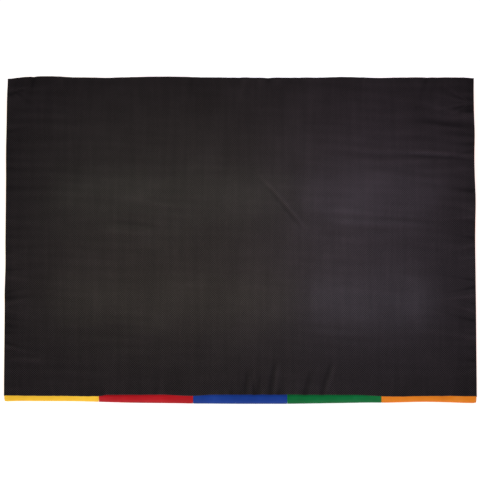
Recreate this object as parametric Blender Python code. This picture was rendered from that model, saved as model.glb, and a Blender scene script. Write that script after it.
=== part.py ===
"""Folding gym mat: five padded panels side by side, lying face down with the base cloth up.

Each panel is a foam core in a coloured vinyl cover. The cover is one wrap, which makes the
face and the front and back walls and turns up a low lip at each end; a gusset closes each end
above its lip, and a black anti-slip base cloth closes the panel on the other side.
The panels fold on each other like a concertina: the first and third folds turn on the base
cloth, the second and fourth on the coloured face.
Metres, +Z up. X runs along the row of panels, -Y is the front edge, the floor is z = 0.
"""
import bpy
import bmesh
from mathutils import Vector

# Panel and mat
PANEL_PITCH = 0.3048
MAT_DEPTH = 1.2192
MAT_THICK = 0.0508

# Sheets
COVER_THICK = 0.0012
GUSSET_THICK = 0.0010
BASE_THICK = 0.0016

# Edges on the coloured side: all round the mat, and beside each fold
RIM_RADIUS = 0.012
FOLD_RADIUS = 0.003
EDGE_STEPS = 5

# Straight part of the cover's turned-up end lip, above the rounded edge
LIP_RISE = 0.002

# Clearances
LAYER_GAP = 0.0003
FOLD_GAP = 0.0006
PIVOT_GAP = 0.0003

# How far a cutter runs past the solid that it cuts
CUT_PAST = 0.005

# Panels from -X to +X: name, colour of the vinyl
PANELS = (
    ("yellow", (0.896, 0.565, 0.054)),
    ("red", (0.462, 0.019, 0.024)),
    ("blue", (0.019, 0.051, 0.238)),
    ("green", (0.002, 0.159, 0.045)),
    ("orange", (0.731, 0.223, 0.023)),
)
BASE_COLOUR = (0.032, 0.027, 0.027)
FOAM_COLOUR = (0.75, 0.74, 0.70)

VINYL_ROUGHNESS = 0.38
CLOTH_ROUGHNESS = 0.75
FOAM_ROUGHNESS = 0.9

# Derived
COUNT = len(PANELS)
RIM_TOP = MAT_THICK - BASE_THICK - LAYER_GAP
END_SHEET = max(COVER_THICK, GUSSET_THICK)
CORE_INSET = COVER_THICK + LAYER_GAP
LIP_HEIGHT = RIM_RADIUS + LIP_RISE


def clear_scene():
    for item in list(bpy.data.objects):
        bpy.data.objects.remove(item, do_unlink=True)


def make_material(name, colour, roughness):
    material = bpy.data.materials.new(name)
    material.use_nodes = True
    shader = material.node_tree.nodes["Principled BSDF"]
    shader.inputs["Base Color"].default_value = (*colour, 1.0)
    shader.inputs["Roughness"].default_value = roughness
    shader.inputs["Metallic"].default_value = 0.0
    return material


def add_object(name, mesh_builder, parent, position):
    mesh = bpy.data.meshes.new(name)
    mesh_builder.to_mesh(mesh)
    mesh_builder.free()
    item = bpy.data.objects.new(name, mesh)
    bpy.context.collection.objects.link(item)
    item.parent = parent
    item.location = position
    return item


def box_builder(low, high, radii=None):
    """A box from low to high. radii = (front and back, left, right) of its floor-side edges."""
    low = Vector(low)
    high = Vector(high)
    builder = bmesh.new()
    bmesh.ops.create_cube(builder, size=1.0)
    for vert in builder.verts:
        for axis in range(3):
            vert.co[axis] = low[axis] if vert.co[axis] < 0.0 else high[axis]
    if radii is not None:
        widest = max(radii)
        weight = builder.edges.layers.float.new("bevel_weight_edge")
        for edge in builder.edges:
            first, second = edge.verts
            if first.co.z > low.z or second.co.z > low.z:
                continue
            if first.co.y == second.co.y:
                edge[weight] = radii[0] / widest
            elif first.co.x == low.x:
                edge[weight] = radii[1] / widest
            else:
                edge[weight] = radii[2] / widest
    return builder


def round_edges(item, radii):
    bevel = item.modifiers.new("rounded_edges", "BEVEL")
    bevel.width = max(radii)
    bevel.segments = EDGE_STEPS
    bevel.limit_method = "WEIGHT"
    bevel.offset_type = "OFFSET"


def cut(item, cutter, label):
    cutter.hide_render = True
    cutter.display_type = "WIRE"
    boolean = item.modifiers.new(label, "BOOLEAN")
    boolean.operation = "DIFFERENCE"
    boolean.solver = "EXACT"
    boolean.object = cutter


def finish_object(item, colour, roughness):
    item.data.materials.append(make_material(item.name + "_material", colour, roughness))


def fold_position(number):
    """World position of a fold's axis. Folds are numbered from 1, from -X to +X."""
    on_base_side = number % 2 == 1
    height = MAT_THICK + PIVOT_GAP if on_base_side else -PIVOT_GAP
    return Vector(((number - COUNT / 2) * PANEL_PITCH, 0.0, height))


def add_fold_empties():
    """The mat's frame and one empty on each fold's axis, each the child of the one before."""
    frame = bpy.data.objects.new("mat_frame", None)
    bpy.context.collection.objects.link(frame)
    empties = [frame]
    for number in range(1, COUNT):
        empty = bpy.data.objects.new("fold_%d" % number, None)
        bpy.context.collection.objects.link(empty)
        empty.parent = empties[-1]
        before = fold_position(number - 1) if number > 1 else Vector((0.0, 0.0, 0.0))
        empty.location = fold_position(number) - before
        empties.append(empty)
    return empties


def add_cover(name, colour, parent, position, low_x, high_x, radii):
    """The vinyl wrap: a tray with rounded floor-side edges and low lips at its two ends."""
    half = MAT_DEPTH / 2
    outer = box_builder((low_x, -half, 0.0), (high_x, half, RIM_TOP), radii)
    cover = add_object("cover_" + name, outer, parent, position)
    round_edges(cover, radii)

    inner_radii = tuple(radius - COVER_THICK for radius in radii)
    inner_low = (low_x + COVER_THICK, -half + COVER_THICK, COVER_THICK)
    inner_high = (high_x - COVER_THICK, half - COVER_THICK, RIM_TOP + CUT_PAST)
    cavity = add_object("cut_cavity_" + name, box_builder(inner_low, inner_high, inner_radii),
                        parent, position)
    round_edges(cavity, inner_radii)
    cut(cover, cavity, "cavity")

    window_low = (low_x - CUT_PAST, -half + COVER_THICK, LIP_HEIGHT)
    window_high = (high_x + CUT_PAST, half - COVER_THICK, RIM_TOP + CUT_PAST)
    window = add_object("cut_ends_" + name, box_builder(window_low, window_high),
                        parent, position)
    cut(cover, window, "open_ends")
    finish_object(cover, colour, VINYL_ROUGHNESS)


def add_gusset(name, colour, parent, position, low_x):
    """The end wall above the cover's lip, between its front and back walls."""
    inside = MAT_DEPTH / 2 - COVER_THICK - LAYER_GAP
    low = (low_x, -inside, LIP_HEIGHT + LAYER_GAP)
    high = (low_x + GUSSET_THICK, inside, RIM_TOP)
    gusset = add_object(name, box_builder(low, high), parent, position)
    finish_object(gusset, colour, VINYL_ROUGHNESS)


def add_core(name, parent, position, low_x, high_x, radii):
    """The foam slab, a clearance inside the cover, the gussets and the base cloth."""
    inside = MAT_DEPTH / 2 - CORE_INSET
    end_inset = END_SHEET + LAYER_GAP
    core_radii = tuple(radius - CORE_INSET for radius in radii)
    builder = box_builder((low_x + end_inset, -inside, CORE_INSET),
                          (high_x - end_inset, inside, RIM_TOP), core_radii)
    core = add_object("foam_core_" + name, builder, parent, position)
    round_edges(core, core_radii)
    finish_object(core, FOAM_COLOUR, FOAM_ROUGHNESS)


def add_base_cloth(name, parent, position, low_x, high_x):
    half = MAT_DEPTH / 2
    builder = box_builder((low_x, -half, MAT_THICK - BASE_THICK), (high_x, half, MAT_THICK))
    cloth = add_object("base_cloth_" + name, builder, parent, position)
    finish_object(cloth, BASE_COLOUR, CLOTH_ROUGHNESS)


def add_panel(index, parent, parent_position):
    name, colour = PANELS[index]
    centre = Vector(((index - (COUNT - 1) / 2) * PANEL_PITCH, 0.0, 0.0))
    position = centre - parent_position
    at_left_end = index == 0
    at_right_end = index == COUNT - 1
    low_x = -PANEL_PITCH / 2 + (0.0 if at_left_end else FOLD_GAP / 2)
    high_x = PANEL_PITCH / 2 - (0.0 if at_right_end else FOLD_GAP / 2)
    radii = (
        RIM_RADIUS,
        RIM_RADIUS if at_left_end else FOLD_RADIUS,
        RIM_RADIUS if at_right_end else FOLD_RADIUS,
    )
    add_cover(name, colour, parent, position, low_x, high_x, radii)
    add_gusset("gusset_left_" + name, colour, parent, position, low_x)
    add_gusset("gusset_right_" + name, colour, parent, position, high_x - GUSSET_THICK)
    add_core(name, parent, position, low_x, high_x, radii)
    add_base_cloth(name, parent, position, low_x, high_x)


def main():
    clear_scene()
    empties = add_fold_empties()
    for index in range(COUNT):
        origin = fold_position(index) if index > 0 else Vector((0.0, 0.0, 0.0))
        add_panel(index, empties[index], origin)
    bpy.context.view_layer.update()


main()
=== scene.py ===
"""The looks of the folding gym mat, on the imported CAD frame.

The mat lies face down: a black anti-slip base cloth on top, coloured vinyl covers below it.
Metres, +Z up. X runs along the row of panels, -Y is the front edge, the floor is z = 0.
"""
import math

import bpy
import numpy as np
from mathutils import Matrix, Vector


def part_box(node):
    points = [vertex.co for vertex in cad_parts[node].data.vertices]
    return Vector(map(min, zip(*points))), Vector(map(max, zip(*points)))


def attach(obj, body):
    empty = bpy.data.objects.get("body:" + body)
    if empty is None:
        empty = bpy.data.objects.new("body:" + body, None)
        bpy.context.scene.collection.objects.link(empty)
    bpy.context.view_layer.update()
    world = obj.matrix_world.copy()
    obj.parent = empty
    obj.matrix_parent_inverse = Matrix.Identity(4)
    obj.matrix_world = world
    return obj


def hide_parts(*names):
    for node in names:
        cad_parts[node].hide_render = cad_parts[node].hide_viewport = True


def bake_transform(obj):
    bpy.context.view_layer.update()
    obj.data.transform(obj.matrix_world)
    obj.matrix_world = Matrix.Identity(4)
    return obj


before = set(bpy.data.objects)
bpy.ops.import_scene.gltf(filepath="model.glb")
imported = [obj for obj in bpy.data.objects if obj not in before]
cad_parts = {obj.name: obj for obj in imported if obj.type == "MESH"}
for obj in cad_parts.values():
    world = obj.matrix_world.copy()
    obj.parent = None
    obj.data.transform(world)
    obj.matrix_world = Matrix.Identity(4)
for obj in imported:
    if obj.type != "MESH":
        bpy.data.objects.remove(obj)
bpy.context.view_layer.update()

COLOURS = ("yellow", "red", "blue", "green", "orange")
PANEL = {colour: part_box("base_cloth_" + colour) for colour in COLOURS}
LEFT = PANEL["yellow"][0][0]
RIGHT = PANEL["orange"][1][0]
FRONT = PANEL["blue"][0][1]
BACK = PANEL["blue"][1][1]
TOP = PANEL["blue"][1][2]
FOLDS = [
    (PANEL[a][1][0] + PANEL[b][0][0]) / 2 for a, b in zip(COLOURS, COLOURS[1:])
]

# Base cloth: its level, its thickness and the size of its mesh cells
CLOTH_LEVEL = TOP - 0.0012
CLOTH_THICK = 0.0012
CLOTH_CELL = 0.0045
# Rows that finish a side of the cloth: (how far out, how far down)
HEM = ((0.0, 0.0), (0.0007, 0.0007), (0.0009, 0.0015), (0.0006, 0.0024))
CUT_EDGE = ((0.0, 0.0),)
CUT_OVERLAP = 0.00003
# The front hem follows the cover's rolled top over this depth
HEM_FOLLOW = 0.03
# A mark of this height is fully rubbed on a ridge, or gets the full painted shade in a valley
MARK_HEIGHT = 0.0013

# Covers and foam
VINYL_THICK = 0.0011
WALL = CLOTH_LEVEL - CLOTH_THICK
SKIN_CELL = 0.010
COVER_GAP = 0.00001
RIM_ROUND = 0.012
FOLD_ROUND = 0.002
END_CORNER = 0.005
FOLD_CORNER = 0.0010
ROLL_HEIGHT = 0.006
WELD_REACH = 0.00001
# The face's waves, and how fast they rise from its edges; a panel is four times as deep as wide
FACE_WAVE = 0.0004
FACE_WAVES = {"seed": 31, "wavelength": 0.12, "count": 10}
FACE_RISE = 12
DEEP = 4
FOAM_INSET = 0.0022
# The rims stay this far under the lowest cloth within this reach
LAYER_GAP = 0.0002
RIM_REACH = 0.006

# Welded seams between two covers: half width, thickness, height, fall to the sides, short of the
# mat's edge by
SEAM_HALF = 0.0018
SEAM_THICK = 0.0007
SEAM_LEVEL = 0.0014
SEAM_CROWN = 0.0005
SEAM_SHORT = 0.004
SEAM_COLUMNS = 13
SEAM_ROWS = 122

SHARP = math.radians(50)
TINY = 1e-9


# ---------------------------------------------------------------- shapes of the mat as a whole

def bumps(t, spec):
    """Sum of smooth bumps (centre, width, height) along t."""
    total = np.zeros_like(t)
    for centre, width, height in spec:
        total += height * np.exp(-(((t - centre) / width) ** 2))
    return total


def rise(x, low, high):
    """0 below low, 1 above high, and smooth between."""
    t = np.clip((x - low) / (high - low), 0, 1)
    return t * t * (3 - 2 * t)


# How far the outline stands outside the cut rectangle, along each edge
BACK_WAVES = ((-0.64, 0.07, 0.0050), (-0.24, 0.11, 0.0034), (0.33, 0.05, 0.0024),
              (0.46, 0.05, -0.0016), (0.10, 0.10, -0.0010), (-0.762, 0.03, -0.0055),
              (0.762, 0.02, -0.0030), (-0.44, 0.03, -0.0012))
FRONT_WAVES = ((-0.80, 0.10, -0.0034), (-0.48, 0.08, 0.0008), (0.08, 0.15, -0.0010),
               (0.50, 0.07, 0.0022), (0.76, 0.06, 0.0014))
LEFT_WAVES = ((0.61, 0.05, -0.0022), (0.33, 0.08, 0.0012), (-0.10, 0.05, -0.0010),
              (-0.22, 0.03, 0.0010))
RIGHT_WAVES = ((0.61, 0.04, 0.0008), (0.40, 0.06, 0.0020), (0.14, 0.08, 0.0028),
               (-0.04, 0.05, -0.0004), (-0.30, 0.09, 0.0002))
FRONT_PROUD = 0.0028
LEFT_PROUD = 0.0018
RIGHT_PROUD = 0.0030
# The higher the power, the closer to its edge a wander stays
LONG_EDGE_POWER = 6
END_POWER = 8


def outline(x, y):
    """The plan position of a point of the cut rectangle on the made mat, whose edges wander."""
    half_x = (RIGHT - LEFT) / 2
    half_y = (BACK - FRONT) / 2
    far = np.clip(y / half_y, 0, 1) ** LONG_EDGE_POWER
    near = np.clip(-y / half_y, 0, 1) ** LONG_EDGE_POWER
    east = np.clip(x / half_x, 0, 1) ** END_POWER
    west = np.clip(-x / half_x, 0, 1) ** END_POWER
    dy = far * bumps(x, BACK_WAVES) - near * (FRONT_PROUD + bumps(x, FRONT_WAVES))
    dx = east * (RIGHT_PROUD + bumps(y, RIGHT_WAVES)) - west * (LEFT_PROUD + bumps(y, LEFT_WAVES))
    return x + dx, y + dy


PUCKER_LEAST = 0.35
PUCKER_LEAN = 0.35


def puckers(along, inward, ends, rng, spacing, reach, height, emphasis):
    """Small ridges that start at a sewn edge, from ends[0] to ends[1], and fade inwards."""
    total = np.zeros_like(along)
    inward = np.maximum(inward, 0)
    at = ends[0] + spacing * rng.uniform(0.2, 0.8)
    while at < ends[1]:
        width = spacing * rng.uniform(0.16, 0.34)
        depth = reach * rng.uniform(0.5, 1.6)
        strength = PUCKER_LEAST + bumps(np.array([at]), emphasis)[0]
        lift = height * rng.uniform(-1.0, 1.0) * strength
        lean = rng.uniform(-PUCKER_LEAN, PUCKER_LEAN)
        here = at + lean * inward
        total += lift * np.exp(-(((along - here) / width) ** 2)) * np.exp(-inward / depth)
        at += spacing * rng.uniform(0.55, 1.4)
    return total


# A crease ends softly over this share of its run, and winds by this share of its width
CREASE_END = 0.08
CREASE_WIND = 0.12
CREASE_TURN = 5.0


def crease(x, y, x0, y0, x1, y1, width, height):
    """A ridge (or a valley, if height is negative) from one point to another."""
    run = math.hypot(x1 - x0, y1 - y0)
    ux, uy = (x1 - x0) / run, (y1 - y0) / run
    along = (x - x0) * ux + (y - y0) * uy
    across = (x - x0) * -uy + (y - y0) * ux
    end = CREASE_END * run
    ends = 1 / (1 + np.exp(-along / end)) / (1 + np.exp((along - run) / end))
    bend = CREASE_WIND * width * np.sin(along / run * CREASE_TURN)
    return height * ends * np.exp(-(((across - bend) / width) ** 2))


FAN_SHAKE = 0.06
FAN_VALLEY = 0.8


def fan(x, y, cx, cy, turn, spread, count, near, reach, height, seed):
    """Ridges and valleys that radiate from a corner, where the sheet is gathered into it."""
    rng = np.random.default_rng(seed)
    r = np.hypot(x - cx, y - cy)
    phi = np.arctan2(y - cy, x - cx)
    total = np.zeros_like(x)
    for k in range(count):
        shake = rng.uniform(-FAN_SHAKE, FAN_SHAKE)
        angle = turn + spread * ((k + 0.5) / count - 0.5) + shake
        off = np.angle(np.exp(1j * (phi - angle)))
        width = spread / count * rng.uniform(0.28, 0.45)
        sign = 1 if k % 2 == 0 else -FAN_VALLEY
        far = reach * rng.uniform(0.6, 1.2)
        start = 1 - np.exp(-((r / near) ** 2))
        total += sign * height * np.exp(-((off / width) ** 2)) * np.exp(-((r / far) ** 2)) * start
    return total


def ripple(x, y, seed, wavelength, count, turn=None, spread=math.pi):
    """Smooth noise of about unit size: waves of nearly one length in many directions."""
    rng = np.random.default_rng(seed)
    total = np.zeros_like(x)
    for _ in range(count):
        angle = rng.uniform(0, math.pi) if turn is None else turn + rng.uniform(-0.5, 0.5) * spread
        wave = 2 * math.pi / (wavelength * rng.uniform(0.7, 1.5))
        phase = rng.uniform(0, 2 * math.pi)
        total += np.sin(wave * (x * math.cos(angle) + y * math.sin(angle)) + phase)
    return total / math.sqrt(count / 2)


# From x, y to x, y, half width, height
CREASES = (
    (0.58, 0.322, 0.77, 0.306, 0.007, 0.0012),
    (0.56, 0.306, 0.77, 0.290, 0.008, -0.0010),
    (0.60, 0.440, 0.76, 0.410, 0.010, -0.0013),
    (0.61, 0.500, 0.76, 0.455, 0.010, 0.0011),
    (0.20, 0.432, 0.35, 0.426, 0.007, -0.0005),
    (0.08, 0.208, 0.195, 0.048, 0.007, 0.0015),
    (0.09, 0.182, 0.185, 0.052, 0.009, -0.0011),
    (-0.38, 0.140, -0.22, 0.110, 0.011, 0.0005),
    (-0.42, 0.050, -0.27, 0.030, 0.010, -0.0005),
    (-0.45, 0.010, -0.30, 0.000, 0.009, 0.0004),
    (0.45, 0.060, 0.62, 0.045, 0.010, -0.0004),
    (-0.74, -0.477, -0.65, -0.480, 0.008, 0.0014),
    (0.015, -0.612, 0.022, -0.520, 0.006, -0.0013),
    (0.032, -0.612, 0.041, -0.530, 0.006, 0.0007),
    (0.056, -0.612, 0.062, -0.545, 0.006, -0.0010),
    (0.095, -0.612, 0.108, -0.495, 0.007, -0.0014),
    (0.111, -0.612, 0.124, -0.500, 0.006, 0.0011),
    (0.205, -0.612, 0.222, -0.530, 0.006, -0.0012),
    (0.262, -0.612, 0.288, -0.500, 0.007, -0.0013),
    (0.279, -0.612, 0.304, -0.505, 0.006, 0.0011),
)
# Spacing, reach, height, and where they are strong: (centre, width, how much)
FRONT_PUCKERS = (0.026, 0.026, 0.0024, ((0.05, 0.10, 1.0), (0.24, 0.05, 1.0), (-0.55, 0.10, 0.2)))
BACK_PUCKERS = (0.032, 0.026, 0.0024, ((-0.66, 0.08, 0.9), (0.66, 0.08, 0.7), (0.05, 0.12, 0.7)))
LEFT_PUCKERS = (0.026, 0.034, 0.0030, ((-0.42, 0.08, 1.0), (-0.20, 0.10, 0.6), (0.52, 0.07, 0.9)))
RIGHT_PUCKERS = (0.026, 0.038, 0.0032, ((0.46, 0.08, 1.0), (-0.25, 0.20, 0.8), (0.10, 0.08, 0.6)))
PUCKER_SEED = 11
# Gathers at the two back corners: x, y, direction, spread, ridges, start, reach, height, seed
CORNER_FANS = (
    (RIGHT - 0.01, BACK - 0.10, math.pi * 0.98, 1.5, 7, 0.012, 0.085, 0.0011, 21),
    (LEFT + 0.01, BACK - 0.04, -0.45, 1.3, 6, 0.012, 0.075, 0.0011, 22),
)
LINES_ALONG_X = math.pi / 2
DRAG_HEIGHT = 0.00026
DRAG_LEAST = 0.25
DRAG_LEFT = 0.5
DRAG_WAVES = {"seed": 8, "wavelength": 0.042, "count": 12, "turn": LINES_ALONG_X, "spread": 0.35}
# Waves over the foam
BROAD_HEIGHT = 0.00050
BROAD_WAVES = {"seed": 3, "wavelength": 0.42, "count": 9, "turn": LINES_ALONG_X, "spread": 0.6}
MIDDLE_HEIGHT = 0.00026
MIDDLE_WAVES = {"seed": 5, "wavelength": 0.16, "count": 14}
SMALL_HEIGHT = 0.00010
SMALL_WAVES = {"seed": 6, "wavelength": 0.07, "count": 18}
# The cloth rises at most this far past the fold's plane, and comes up to it over this height
TOP_LIMIT = 0.0002
TOP_EASE = 0.0003
# How far the cloth draws down at its sewn edges: a dip at the stitches and a wider shoulder
STITCH_DIP = 0.0008
STITCH_REACH = 0.005
SHOULDER_DIP = 0.0016
SHOULDER_REACH = 0.070
SHOULDER_POWER = 1.5


def cloth_marks(x, y):
    """Height of the creases, puckers and gathers in the base cloth."""
    rng = np.random.default_rng(PUCKER_SEED)
    height = puckers(x, y - FRONT, (LEFT, RIGHT), rng, *FRONT_PUCKERS)
    height += puckers(x, BACK - y, (LEFT, RIGHT), rng, *BACK_PUCKERS)
    height += puckers(y, x - LEFT, (FRONT, BACK), rng, *LEFT_PUCKERS)
    height += puckers(y, RIGHT - x, (FRONT, BACK), rng, *RIGHT_PUCKERS)
    for corner in CORNER_FANS:
        height += fan(x, y, *corner)
    for line in CREASES:
        height += crease(x, y, *line)
    # drag lines along the mat, strongest towards its back right corner and its left end
    far_right = rise(x, 0.15, 0.75) * rise(y, -0.20, 0.35)
    pull = DRAG_LEAST + far_right + DRAG_LEFT * rise(-x, 0.40, 0.75)
    height += DRAG_HEIGHT * pull * ripple(x, y, **DRAG_WAVES)
    return height


def cloth_relief(x, y):
    """Height of the base cloth over its level: its marks, and broad waves over the foam."""
    height = cloth_marks(x, y)
    height += BROAD_HEIGHT * ripple(x, y, **BROAD_WAVES)
    height += MIDDLE_HEIGHT * ripple(x, y, **MIDDLE_WAVES)
    height += SMALL_HEIGHT * ripple(x, y, **SMALL_WAVES)
    limit = TOP + TOP_LIMIT - CLOTH_LEVEL
    return limit - TOP_EASE * np.logaddexp(0, (limit - height) / TOP_EASE)


def cloth_top(x, y):
    """Height of the base cloth's outer face, which draws down towards its sewn edges."""
    edge = np.maximum(np.minimum.reduce([x - LEFT, RIGHT - x, y - FRONT, BACK - y]), 0)
    stitch = STITCH_DIP * np.exp(-edge / STITCH_REACH)
    shoulder = SHOULDER_DIP * np.exp(-((edge / SHOULDER_REACH) ** SHOULDER_POWER))
    return CLOTH_LEVEL + cloth_relief(x, y) - (stitch + shoulder)


def rim_level(x, y):
    """Height of the covers' rims, just under the lowest cloth nearby."""
    around = [cloth_top(x + dx, y + dy) for dx in (-RIM_REACH, RIM_REACH)
              for dy in (-RIM_REACH, RIM_REACH)] + [cloth_top(x, y)]
    return np.minimum.reduce(around) - CLOTH_THICK - LAYER_GAP


# ---------------------------------------------------------------- mesh helpers

def new_piece(name, points, faces):
    """A smooth-shaded object whose "rest" attribute keeps its points' rest positions."""
    mesh = bpy.data.meshes.new(name)
    mesh.from_pydata(points.tolist(), [], faces)
    mesh.update()
    rest = mesh.attributes.new("rest", "FLOAT_VECTOR", "POINT")
    rest.data.foreach_set("vector", points.astype(np.float32).ravel())
    mesh.shade_smooth()
    item = bpy.data.objects.new(name, mesh)
    bpy.context.collection.objects.link(item)
    return item


def settle(item, sharp=None):
    """Replaces the object's mesh with what its modifiers make of it."""
    graph = bpy.context.evaluated_depsgraph_get()
    made = bpy.data.meshes.new_from_object(item.evaluated_get(graph), depsgraph=graph)
    old = item.data
    item.modifiers.clear()
    item.data = made
    made.name = item.name
    bpy.data.meshes.remove(old)
    if sharp is not None:
        made.set_sharp_from_angle(angle=sharp)


def thicken(item, thickness):
    """Gives a sheet its thickness, inwards from the modelled face."""
    solid = item.modifiers.new("thickness", "SOLIDIFY")
    solid.thickness = thickness
    solid.offset = -1.0
    solid.use_even_offset = False
    settle(item, sharp=SHARP)


def grid_faces(columns, rows, flip=False):
    """Quads over a grid of points that is stored column by column."""
    faces = []
    for i in range(columns - 1):
        for j in range(rows - 1):
            a = i * rows + j
            quad = (a, a + rows, a + rows + 1, a + 1)
            faces.append(quad[::-1] if flip else quad)
    return faces


# ---------------------------------------------------------------- base cloth

def steps(low, high, low_edge, high_edge):
    """Positions along one side of the cloth with its edge treatment: (position, outward, drop)."""
    count = max(2, round((high - low) / CLOTH_CELL))
    inner = [low + (high - low) * k / count for k in range(count + 1)]
    rows = [(low, -out, drop) for out, drop in reversed(low_edge)]
    rows += [(p, 0.0, 0.0) for p in inner[1:-1]]
    rows += [(high, out, drop) for out, drop in high_edge]
    return np.array(rows)


def base_cloth(name, low_x, high_x, left_edge, right_edge):
    """One piece of the base cloth. Its "crest" attribute is 1 on ridges and -1 in valleys."""
    across = steps(low_x, high_x, left_edge, right_edge)
    deep = steps(FRONT, BACK, HEM, HEM)
    px, ox, dx = (c[:, None] + np.zeros(len(deep))[None, :] for c in across.T)
    py, oy, dy = (c[None, :] + np.zeros(len(across))[:, None] for c in deep.T)
    wx, wy = outline(px, py)
    wy = wy + front_roll(px) * np.clip((FRONT + HEM_FOLLOW - py) / HEM_FOLLOW, 0, 1)
    z = cloth_top(px, py) - np.maximum(dx, dy)
    points = np.stack([wx + ox, wy + oy, z], -1).reshape(-1, 3)
    item = new_piece(name, points, grid_faces(len(across), len(deep)))
    crest = item.data.attributes.new("crest", "FLOAT", "POINT")
    marks = cloth_marks(px, py) / MARK_HEIGHT
    crest.data.foreach_set("value", np.clip(marks, -1, 1).astype(np.float32).ravel())
    thicken(item, CLOTH_THICK)
    return item


# ---------------------------------------------------------------- vinyl covers and foam

# Bumps (centre, width, height) along the front edge
FOOT_ROUND = 0.0045
FOOT_ROUNDER = ((-0.66, 0.22, 0.0170), (0.66, 0.24, 0.0130))
FLARE = 0.0017
FLARES = ((0.08, 0.22, 0.0034), (0.72, 0.10, 0.0045), (-0.77, 0.05, 0.0030),
          (-0.48, 0.08, -0.0026), (0.49, 0.08, -0.0010), (-0.66, 0.07, 0.0012))
BULGE = 0.0010
BULGES = ((0.0, 0.30, 0.0034), (-0.55, 0.2, -0.0008))
# The back edge is rounded and bulged like the front, at these shares
BACK_STRETCH = 0.6
BACK_BULGE = 0.5
# Where the front wall rolls in over the top: (from, fully from, fully to, to, how far)
ROLL_LEAST = 0.0003
ROLLS = (
    (FOLDS[0] - 0.004, FOLDS[0] + 0.030, FOLDS[1] - 0.11, FOLDS[1] - 0.01, 0.0043),
    (FOLDS[1], FOLDS[1] + 0.06, FOLDS[3] - 0.09, FOLDS[3] + 0.01, 0.0038),
)
# How far a wall draws in at its very top, and over what height
TUCK = 0.0009
TUCK_HEIGHT = 0.0022


def front_round(x):
    """Radius of the floor-side front edge, which is fuller towards the mat's two ends."""
    return FOOT_ROUND + bumps(x, FOOT_ROUNDER)


def front_roll(x):
    """How far the cover's front wall rolls in over the top before the cloth's hem starts."""
    total = ROLL_LEAST
    for start, full, fade, end, depth in ROLLS:
        total = total + depth * (rise(x, start, full) * (1 - rise(x, fade, end)))
    return total


def front_flare(x):
    """How far the foot of the front wall stands out past its top."""
    return FLARE + bumps(x, FLARES)


def front_bulge(x, z):
    """How far the front wall stands out."""
    shape = np.sin(math.pi * np.clip(z / WALL, 0, 1) ** 0.8) ** 0.8
    return shape * (BULGE + bumps(x, BULGES))


def inset(z, radius):
    """How far a wall with a rounded foot is inside its plane at height z."""
    low = np.clip(radius - z, 0, radius)
    return radius - np.sqrt(np.maximum(radius ** 2 - low ** 2, 0))


# Heights of a tray's rows: below the rim, then evenly down the wall, then round the foot
RIM_DROPS = (0.0, 0.0006, 0.0016, 0.0032, 0.005)
WALL_ROWS = 5
FOOT_ROWS = 6


def skin_levels(rim, foot):
    """Heights from the rim to the floor, close together at the rim and over the rounded foot."""
    wall = [rim - (rim - foot) * k / WALL_ROWS for k in range(1, WALL_ROWS + 1)]
    curve = [foot * (1 - math.sin(math.pi / 2 * k / FOOT_ROWS)) for k in range(1, FOOT_ROWS + 1)]
    return [rim - drop for drop in RIM_DROPS] + wall + curve


def round_corner(x, y, line, sign, edge, way, size):
    """Moves the points near one corner of a tray's plan onto an arc."""
    gx = np.clip(size - sign * (x - line), 0, size)
    gy = np.clip(size - way * (y - edge), 0, size)
    near = (gx > 0) & (gy > 0)
    length = np.maximum(np.hypot(gx, gy), TINY)
    x = np.where(near, line + sign * (size - gx / length * size), x)
    y = np.where(near, edge + way * (size - gy / length * size), y)
    return x, y


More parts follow.
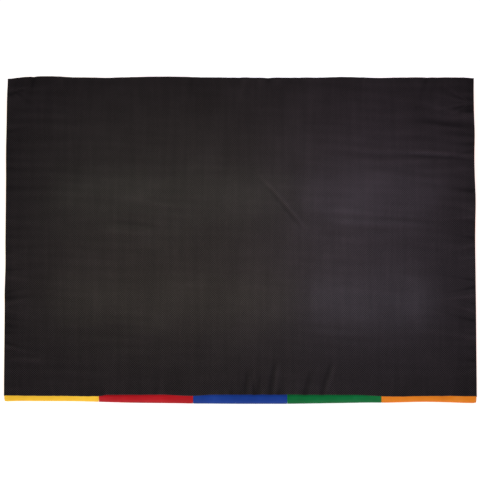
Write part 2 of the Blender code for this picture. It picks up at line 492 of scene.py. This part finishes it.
def skin(name, low_x, high_x, ends, shrink=0.0, closed=False):
    """The tray of a cover: walls, rounded foot and face. ends = is (left, right) an outer end."""
    columns = round((high_x - low_x) / SKIN_CELL)
    rows = round((BACK - FRONT) / SKIN_CELL)
    s = np.linspace(0, 1, columns + 1)
    t = np.linspace(0, 1, rows + 1)
    ring = [(u, 0.0) for u in s[:-1]]
    ring += [(1.0, v) for v in t[:-1]]
    ring += [(u, 1.0) for u in s[:0:-1]]
    ring += [(0.0, v) for v in t[:0:-1]]
    ring = np.array(ring)
    count = len(ring)
    radius = [RIM_ROUND if end else FOLD_ROUND for end in ends]
    corner = [END_CORNER if end else FOLD_CORNER for end in ends]

    def place(u, v, z):
        """World points from shares u and v of the plan and the height z on a straight wall."""
        left = low_x + shrink + inset(z, radius[0])
        right = high_x - shrink - inset(z, radius[1])
        x = left + u * (right - left)
        tuck = TUCK * np.exp(-((WALL - z) / TUCK_HEIGHT))
        front = FRONT + shrink + inset(z, front_round(x)) - front_bulge(x, z) + tuck
        back = BACK - shrink - inset(z, front_round(x * BACK_STRETCH))
        back = back + BACK_BULGE * front_bulge(x, z) - tuck
        roll = 1 - np.sqrt(1 - np.clip(1 - (WALL - z) / ROLL_HEIGHT, 0, 1) ** 2)
        front = front + front_roll(x) * roll - front_flare(x) * (1 - z / WALL)
        y = front + v * (back - front)
        for line, sign, size in ((left, 1, corner[0]), (right, -1, corner[1])):
            for edge, way in ((front, 1), (back, -1)):
                x, y = round_corner(x, y, line, sign, edge, way, size)
        z = z * (rim_level(x, y) - shrink / 4) / WALL
        x, y = outline(x, y)
        return np.stack([x, y, z], -1)

    def on_grid(first, k):
        """Index of the ring's point k in a grid of points that starts at first."""
        u, v = ring[k % count]
        return first + round(u * columns) * (rows + 1) + round(v * rows)

    levels = skin_levels(WALL, RIM_ROUND)
    loops = [place(ring[:, 0], ring[:, 1], np.full(count, z)) for z in levels[:-1]]
    gu, gv = np.meshgrid(s, t, indexing="ij")
    face = place(gu.ravel(), gv.ravel(), np.zeros(gu.size))
    inside = np.minimum.reduce([gu, 1 - gu, gv * DEEP, (1 - gv) * DEEP]).ravel()
    wave = 1 + np.clip(ripple(face[:, 0], face[:, 1], **FACE_WAVES), -1, 1)
    face[:, 2] += FACE_WAVE * np.clip(inside * FACE_RISE, 0, 1) * wave / 2
    if shrink:
        face[:, 2] += shrink
        loops = [loop + np.array([0, 0, shrink * (1 - loop[0, 2] / WALL)]) for loop in loops]

    faces = []
    for level in range(len(loops) - 1):
        for k in range(count):
            a = level * count + k
            b = level * count + (k + 1) % count
            faces.append((a, a + count, b + count, b))
    last = (len(loops) - 1) * count
    start = len(loops) * count
    for k in range(count):
        faces.append((last + k, on_grid(start, k), on_grid(start, k + 1), last + (k + 1) % count))
    faces += [tuple(start + i for i in quad) for quad in grid_faces(columns + 1, rows + 1, True)]
    points = np.concatenate(loops + [face])
    if closed:
        top = place(gu.ravel(), gv.ravel(), np.full(gu.size, WALL))
        first = len(points)
        points = np.concatenate([points, top])
        for k in range(count):
            faces.append((k, (k + 1) % count, on_grid(first, k + 1), on_grid(first, k)))
        faces += [tuple(first + i for i in quad) for quad in grid_faces(columns + 1, rows + 1)]
    item = new_piece(name, points, faces)
    if closed:
        weld = item.modifiers.new("weld", "WELD")
        weld.merge_threshold = WELD_REACH
        settle(item)
    return item


# The cloth simulation of the covers' walls
SWELL_CAP = 0.0016
SWELL_FRAMES = 20
SWELL_SETTINGS = {
    "quality": 6,
    "mass": 0.4,
    "tension_stiffness": 30.0,
    "compression_stiffness": 30.0,
    "shear_stiffness": 12.0,
    "bending_stiffness": 0.6,
    "use_pressure": True,
    "uniform_pressure_force": 4.0,
}
# Points closer than this to a fold, the floor or the rim don't move
HELD_AT_FOLD = 0.004
HELD_AT_FLOOR = 0.0015
HELD_AT_RIM = 0.0045


def swell(item, low_x, high_x, ends):
    """Lets a short cloth simulation blow the free walls out, by at most about SWELL_CAP."""
    mesh = item.data
    before = np.empty(len(mesh.vertices) * 3)
    mesh.vertices.foreach_get("co", before)
    before = before.reshape(-1, 3)
    x, _, z = before.T
    from_left = np.abs(x - low_x)
    from_right = np.abs(x - high_x)
    side = np.where(from_left < from_right, 0, 1)
    at_fold = (np.minimum(from_left, from_right) < HELD_AT_FOLD) & ~np.array(ends)[side]
    held = at_fold | (z < HELD_AT_FLOOR) | (z > WALL - HELD_AT_RIM)
    group = item.vertex_groups.new(name="held")
    group.add([int(i) for i in np.flatnonzero(held)], 1.0, "REPLACE")
    cloth = item.modifiers.new("cloth", "CLOTH")
    for key, value in SWELL_SETTINGS.items():
        setattr(cloth.settings, key, value)
    cloth.settings.effector_weights.gravity = 0.0
    cloth.settings.vertex_group_mass = group.name
    cloth.collision_settings.use_collision = False
    cloth.point_cache.frame_start = 1
    cloth.point_cache.frame_end = SWELL_FRAMES
    for number in range(1, SWELL_FRAMES + 1):
        bpy.context.scene.frame_set(number)
    graph = bpy.context.evaluated_depsgraph_get()
    made = item.evaluated_get(graph).data
    after = np.empty(len(before) * 3)
    made.vertices.foreach_get("co", after)
    item.modifiers.remove(cloth)
    item.vertex_groups.remove(group)
    bpy.context.scene.frame_set(1)
    move = after.reshape(-1, 3) - before
    size = np.maximum(np.linalg.norm(move, axis=1, keepdims=True), TINY)
    move *= SWELL_CAP * np.tanh(size / SWELL_CAP) / size
    move[held] = 0.0
    mesh.vertices.foreach_set("co", (before + move).ravel())
    mesh.update()


def face_seam(name, fold):
    """The welded seam that joins two covers at the foot of the groove between them."""
    u = np.linspace(-1, 1, SEAM_COLUMNS)
    v = np.linspace(FRONT + SEAM_SHORT, BACK - SEAM_SHORT, SEAM_ROWS)
    gu, gv = np.meshgrid(u, v, indexing="ij")
    z = SEAM_LEVEL - SEAM_CROWN * gu ** 2
    x, y = outline(fold + gu * SEAM_HALF, gv)
    points = np.stack([x, y, z], -1).reshape(-1, 3)
    seam = new_piece(name, points, grid_faces(len(u), len(v)))
    thicken(seam, SEAM_THICK)
    return seam


# ---------------------------------------------------------------- materials

class Nodes:
    """A short way to write a material's nodes."""

    def __init__(self, name):
        self.material = bpy.data.materials.new(name)
        self.material.use_nodes = True
        self.tree = self.material.node_tree
        self.shader = self.tree.nodes["Principled BSDF"]

    def add(self, kind, **values):
        node = self.tree.nodes.new(kind)
        for key, value in values.items():
            setattr(node, key, value)
        return node

    def link(self, source, target):
        self.tree.links.new(source, target)

    def math(self, operation, first, second=None, clamp=False):
        node = self.add("ShaderNodeMath", operation=operation, use_clamp=clamp)
        for socket, value in zip(node.inputs, (first, second)):
            if value is None:
                continue
            if isinstance(value, (int, float)):
                socket.default_value = value
            else:
                self.link(value, socket)
        return node.outputs[0]

    def rest(self):
        return self.add("ShaderNodeAttribute", attribute_name="rest").outputs["Vector"]

    def split(self, vector):
        node = self.add("ShaderNodeSeparateXYZ")
        self.link(vector, node.inputs[0])
        return node.outputs

    def noise(self, vector, scale, detail, stretch=None):
        if stretch is not None:
            mapping = self.add("ShaderNodeMapping")
            mapping.inputs["Scale"].default_value = stretch
            self.link(vector, mapping.inputs["Vector"])
            vector = mapping.outputs["Vector"]
        node = self.add("ShaderNodeTexNoise")
        node.inputs["Scale"].default_value = scale
        node.inputs["Detail"].default_value = detail
        node.inputs["Roughness"].default_value = 0.55
        self.link(vector, node.inputs["Vector"])
        return node.outputs["Fac"]

    def cells(self, vector, scale, **values):
        node = self.add("ShaderNodeTexVoronoi", **values)
        node.inputs["Scale"].default_value = scale
        self.link(vector, node.inputs["Vector"])
        return node.outputs["Distance"]

    def ramp(self, fac, stops):
        node = self.add("ShaderNodeValToRGB")
        ramp = node.color_ramp
        while len(ramp.elements) < len(stops):
            ramp.elements.new(0.5)
        for element, (position, colour) in zip(ramp.elements, stops):
            element.position = position
            element.color = (*colour, 1.0)
        self.link(fac, node.inputs["Fac"])
        return node.outputs["Color"]

    def multiply(self, first, second):
        node = self.add("ShaderNodeMix", data_type="RGBA", blend_type="MULTIPLY")
        node.inputs["Factor"].default_value = 1.0
        self.link(first, node.inputs["A"])
        self.link(second, node.inputs["B"])
        return node.outputs["Result"]

    def remap(self, value, low, high, to_low, to_high):
        node = self.add("ShaderNodeMapRange")
        for key, number in zip(("From Min", "From Max", "To Min", "To Max"),
                               (low, high, to_low, to_high)):
            node.inputs[key].default_value = number
        self.link(value, node.inputs["Value"])
        return node.outputs["Result"]

    def bump(self, height, strength, distance, normal=None):
        node = self.add("ShaderNodeBump")
        node.inputs["Strength"].default_value = strength
        node.inputs["Distance"].default_value = distance
        self.link(height, node.inputs["Height"])
        if normal is not None:
            self.link(normal, node.inputs["Normal"])
        return node.outputs["Normal"]

    def finish(self, colour, roughness, normal):
        """Links the three sockets that vary over the surface."""
        self.link(colour, self.shader.inputs["Base Color"])
        self.link(roughness, self.shader.inputs["Roughness"])
        self.link(normal, self.shader.inputs["Normal"])


# Grip dots: pitch along a diagonal, radii where a dot is full and gone, and the share they cover
DOT_PITCH = 0.0072
DOT_FULL = 0.25
DOT_GONE = 0.40
DOT_SHARE = 0.34
KNIT_PER_DOT = 5
# How clearly the dots show in the colour at the front and the back, as painted sheen, and the mean
# place on the colour ramp
DOT_SHEEN_CONTRAST = (0.86, 0.36)
MEAN_TONE = 0.285
CLOTH_DARK = (0.0010, 0.0008, 0.0008)
CLOTH_LIGHT = (0.0850, 0.0700, 0.0720)
WHITE = (1.0, 1.0, 1.0)
WALE_STRETCH = (55.0, 2.5, 1.0)
# Share of the colour in valleys, darkened as painted shade, and on ridges, paler as rub wear
RUB_AND_SHADE = (0.55, 1.55)
CLOTH_ROUGH = 0.78
DOT_ROUGH = 0.23
FUZZ_BUMP = 0.00012
DOT_BUMP = 0.00014
CLOTH_SPECULAR = 0.2


def anti_slip_cloth():
    """Black knitted cloth with a quincunx of small raised grip dots."""
    n = Nodes("anti_slip_cloth")
    rest = n.rest()
    x, y, _ = n.split(rest)
    u = n.math("DIVIDE", n.math("ADD", x, y), DOT_PITCH)
    v = n.math("DIVIDE", n.math("SUBTRACT", x, y), DOT_PITCH)
    fu = n.math("SUBTRACT", n.math("FRACT", u), 0.5)
    fv = n.math("SUBTRACT", n.math("FRACT", v), 0.5)
    r = n.math("SQRT", n.math("ADD", n.math("MULTIPLY", fu, fu), n.math("MULTIPLY", fv, fv)))
    dot = n.remap(r, DOT_FULL, DOT_GONE, 1.0, 0.0)
    # the knit between the dots
    wave_u = n.math("SINE", n.math("MULTIPLY", u, 2 * math.pi * KNIT_PER_DOT))
    wave_v = n.math("SINE", n.math("MULTIPLY", v, 2 * math.pi * KNIT_PER_DOT))
    knit = n.math("MULTIPLY", wave_u, wave_v)
    patch = n.noise(rest, scale=9.0, detail=4.0)
    wales = n.noise(rest, scale=1.0, detail=2.0, stretch=WALE_STRETCH)
    fuzz = n.noise(rest, scale=900.0, detail=2.0)
    # painted sheen: the dots' colour contrast is strong towards the front, where the sheen lights
    # glint on them, and weak towards the back, at an even mean shade
    clear = n.remap(y, FRONT, BACK, *DOT_SHEEN_CONTRAST)
    contrast = n.math("MULTIPLY", n.math("SUBTRACT", dot, DOT_SHARE), clear)
    tone = n.math("ADD", contrast, MEAN_TONE)
    colour = n.ramp(tone, ((0.0, CLOTH_DARK), (1.0, CLOTH_LIGHT)))
    shade = n.ramp(patch, ((0.30, (0.74, 0.73, 0.72)), (0.70, WHITE)))
    streak = n.ramp(wales, ((0.35, (0.84, 0.84, 0.84)), (0.65, WHITE)))
    # ridges are rubbed paler, and valleys are darkened with painted shade
    crest = n.add("ShaderNodeAttribute", attribute_name="crest").outputs["Fac"]
    rub_and_shade = n.add("ShaderNodeVectorMath", operation="SCALE")
    n.link(n.multiply(n.multiply(colour, shade), streak), rub_and_shade.inputs[0])
    n.link(n.remap(crest, -1.0, 1.0, *RUB_AND_SHADE), rub_and_shade.inputs["Scale"])
    rough = n.remap(dot, 0.0, 1.0, CLOTH_ROUGH, DOT_ROUGH)
    uneven = n.math("ADD", n.remap(fuzz, 0.3, 0.7, -0.05, 0.05),
                    n.remap(patch, 0.3, 0.7, 0.07, -0.05))
    low = n.bump(n.math("ADD", n.math("MULTIPLY", knit, 0.3), fuzz), 0.30, FUZZ_BUMP)
    n.finish(rub_and_shade.outputs[0], n.math("ADD", rough, uneven), n.bump(dot, 0.8, DOT_BUMP, low))
    n.shader.inputs["Specular IOR Level"].default_value = CLOTH_SPECULAR
    return n.material


GRAIN_SCALE = 620.0
# Painted shade at the foot of the walls: the heights where it is full and gone, and its colour
FOOT_SHADE_FULL = 0.0005
FOOT_SHADE = 0.018
FOOT_SHADE_COLOUR = (0.38, 0.38, 0.38)
VINYL_ROUGH = (0.56, 0.40)
VINYL_SPECULAR = 0.045
# Base, dark and light tone of each colour
VINYL_TONES = {
    "yellow": ((0.880, 0.530, 0.035), (0.800, 0.465, 0.028), (0.920, 0.600, 0.060)),
    "red": ((0.440, 0.007, 0.012), (0.370, 0.005, 0.009), (0.500, 0.012, 0.018)),
    "blue": ((0.008, 0.043, 0.255), (0.006, 0.034, 0.210), (0.016, 0.058, 0.300)),
    "green": ((0.001, 0.138, 0.032), (0.001, 0.112, 0.026), (0.004, 0.172, 0.048)),
    "orange": ((0.760, 0.220, 0.012), (0.680, 0.186, 0.009), (0.820, 0.266, 0.028)),
}


def vinyl(name, base, dark, light):
    """Coated cloth with a fine leather-like grain, in uneven tones, with painted shade near the
    floor.
    """
    n = Nodes("vinyl_" + name)
    rest = n.rest()
    grain = n.cells(rest, GRAIN_SCALE, feature="DISTANCE_TO_EDGE")
    cell = n.remap(grain, 0.0, 0.22, 0.0, 1.0)
    soft = n.noise(rest, scale=14.0, detail=4.0)
    fine = n.noise(rest, scale=260.0, detail=3.0)
    # painted shade: the walls are painted darker towards the floor, broken up by fine noise
    foot = n.remap(n.split(rest)["Z"], FOOT_SHADE_FULL, FOOT_SHADE, 0.0, 1.0)
    painted_shade_mask = n.math("MULTIPLY", foot, n.remap(fine, 0.2, 0.5, 0.7, 1.0), clamp=True)
    colour = n.ramp(soft, ((0.25, dark), (0.55, base), (0.80, light)))
    painted_foot_shade = n.ramp(painted_shade_mask, ((0.0, FOOT_SHADE_COLOUR), (0.7, WHITE)))
    rough = n.math("ADD", n.remap(cell, 0.0, 1.0, *VINYL_ROUGH),
                   n.remap(fine, 0.3, 0.7, -0.05, 0.05))
    low = n.bump(fine, 0.20, 0.0006)
    n.finish(n.multiply(colour, painted_foot_shade), rough, n.bump(cell, 0.30, 0.00025, low))
    n.shader.inputs["Specular IOR Level"].default_value = VINYL_SPECULAR
    return n.material


FOAM_CELLS = 480.0
FOAM_DARK = (0.62, 0.61, 0.57)
FOAM_LIGHT = (0.80, 0.79, 0.75)


def foam():
    """Cut closed-cell foam."""
    n = Nodes("foam")
    cells = n.cells(n.rest(), FOAM_CELLS)
    n.finish(n.ramp(cells, ((0.0, FOAM_DARK), (0.8, FOAM_LIGHT))),
             n.remap(cells, 0.0, 1.0, 0.80, 0.95), n.bump(cells, 0.5, 0.0006))
    return n.material


def paint(item, material):
    item.data.materials.append(material)


VINYL = {name: vinyl(name, *tones) for name, tones in VINYL_TONES.items()}
CLOTH = anti_slip_cloth()
FOAM = foam()


# ---------------------------------------------------------------- the pieces

for index, colour in enumerate(COLOURS):
    body = "panel_" + colour
    ends = (index == 0, index == len(COLOURS) - 1)
    low_x = LEFT if ends[0] else FOLDS[index - 1] + COVER_GAP
    high_x = RIGHT if ends[1] else FOLDS[index] - COVER_GAP
    cover = skin("vinyl_cover_" + colour, low_x, high_x, ends)
    swell(cover, low_x, high_x, ends)
    thicken(cover, VINYL_THICK)
    paint(cover, VINYL[colour])
    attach(cover, body)
    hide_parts("cover_" + colour, "gusset_left_" + colour, "gusset_right_" + colour)

    core = skin("foam_slab_" + colour, low_x, high_x, ends, shrink=FOAM_INSET, closed=True)
    paint(core, FOAM)
    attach(core, body)
    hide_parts("foam_core_" + colour)

for first, second, name in (("yellow", "red", "yellow_red"), ("blue", "green", "blue_green")):
    i = COLOURS.index(first)
    low_x = LEFT if i == 0 else FOLDS[i - 1] - CUT_OVERLAP
    high_x = FOLDS[i + 1] + CUT_OVERLAP
    cloth = base_cloth("anti_slip_cloth_" + name, low_x, high_x,
                       HEM if i == 0 else CUT_EDGE, CUT_EDGE)
    paint(cloth, CLOTH)
    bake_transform(cloth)
    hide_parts("base_cloth_" + first, "base_cloth_" + second)

cloth = base_cloth("anti_slip_cloth_orange", FOLDS[3] - CUT_OVERLAP, RIGHT, CUT_EDGE, HEM)
paint(cloth, CLOTH)
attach(cloth, "panel_orange")
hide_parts("base_cloth_orange")

for fold, first, second in ((1, "red", "blue"), (3, "green", "orange")):
    seam = face_seam("face_seam_" + first + "_" + second, FOLDS[fold])
    paint(seam, VINYL[first])
    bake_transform(seam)


# ---------------------------------------------------------------- stage, light and camera

FLOOR_SIZE = 60
FLOOR_DROP = 0.0005
FLOOR_GLOW = 0.80
WORLD_TINT = (0.95, 0.86, 1.0)
WORLD_STRENGTH = 0.295
# Name, x, y, height over the mat, width, depth, radiance
SHEEN_LIGHTS = (
    ("back_sheen", -0.21, 0.150, 0.40, 0.80, 0.12, (3.00, 3.08, 2.32)),
    ("front_sheen", -0.21, -0.262, 0.32, 0.80, 0.13, (2.40, 2.24, 1.64)),
    ("right_back_sheen", 0.43, 0.150, 0.40, 0.40, 0.12, (6.10, 5.10, 6.70)),
    ("right_front_sheen", 0.43, -0.262, 0.32, 0.40, 0.13, (3.90, 3.55, 4.50)),
)
# The camera: its height angle and distance, and how far it is moved sideways and up its picture
ELEVATION = math.radians(58.0)
DISTANCE = 46.0
SIDE = -0.0005
RAISE = 0.0087
SENSOR = 36.0
LENS = 1058.0

bpy.ops.mesh.primitive_plane_add(size=FLOOR_SIZE, location=(0, 0, -FLOOR_DROP))
floor = bpy.context.object
floor.name = "floor"
pale = Nodes("pale_floor")
pale.shader.inputs["Base Color"].default_value = (0.93, 0.93, 0.93, 1)
pale.shader.inputs["Roughness"].default_value = 0.9
pale.shader.inputs["Specular IOR Level"].default_value = 0.0
pale.shader.inputs["Emission Color"].default_value = (1, 1, 1, 1)
pale.shader.inputs["Emission Strength"].default_value = FLOOR_GLOW
paint(floor, pale.material)

scene = bpy.context.scene
world = bpy.data.worlds.new("studio")
world.use_nodes = True
world.node_tree.nodes["Background"].inputs["Color"].default_value = (*WORLD_TINT, 1)
world.node_tree.nodes["Background"].inputs["Strength"].default_value = WORLD_STRENGTH
scene.world = world


def softbox(name, location, target, size, power):
    """A rectangular light at location that faces target and doesn't show to the camera."""
    light = bpy.data.lights.new(name, "AREA")
    light.shape = "RECTANGLE"
    light.size, light.size_y = size
    light.energy = power
    item = bpy.data.objects.new(name, light)
    bpy.context.collection.objects.link(item)
    item.location = location
    item.visible_camera = False
    aim = item.location.copy()
    for k in range(3):
        aim[k] = target[k] - location[k]
    item.rotation_euler = aim.to_track_quat("-Z", "Y").to_euler()
    return item


# Each sheen light is where the cloth at (x, y) mirrors it to the camera
for name, x, y, height, width, depth, radiance in SHEEN_LIGHTS:
    brightest = max(radiance)
    light = softbox(name, (x, y + height / math.tan(ELEVATION), TOP + height),
                    (x, y, TOP), (width, depth), math.pi * width * depth * brightest)
    light.data.color = [value / brightest for value in radiance]
softbox("front_softbox", location=(-0.3, -2.6, 1.1), target=(0, FRONT, 0.02), size=(2.4, 1.0),
        power=19)

lens = bpy.data.cameras.new("camera")
lens.sensor_width = SENSOR
lens.lens = LENS
lens.clip_start = 1.0
lens.clip_end = 200.0
camera = bpy.data.objects.new("camera", lens)
bpy.context.collection.objects.link(camera)
camera.location = (
    SIDE,
    -DISTANCE * math.cos(ELEVATION) + RAISE * math.sin(ELEVATION),
    DISTANCE * math.sin(ELEVATION) + RAISE * math.cos(ELEVATION),
)
camera.rotation_euler = (math.pi / 2 - ELEVATION, 0, 0)
bpy.context.scene.camera = camera

scene.view_settings.view_transform = "Standard"
scene.view_settings.look = "None"
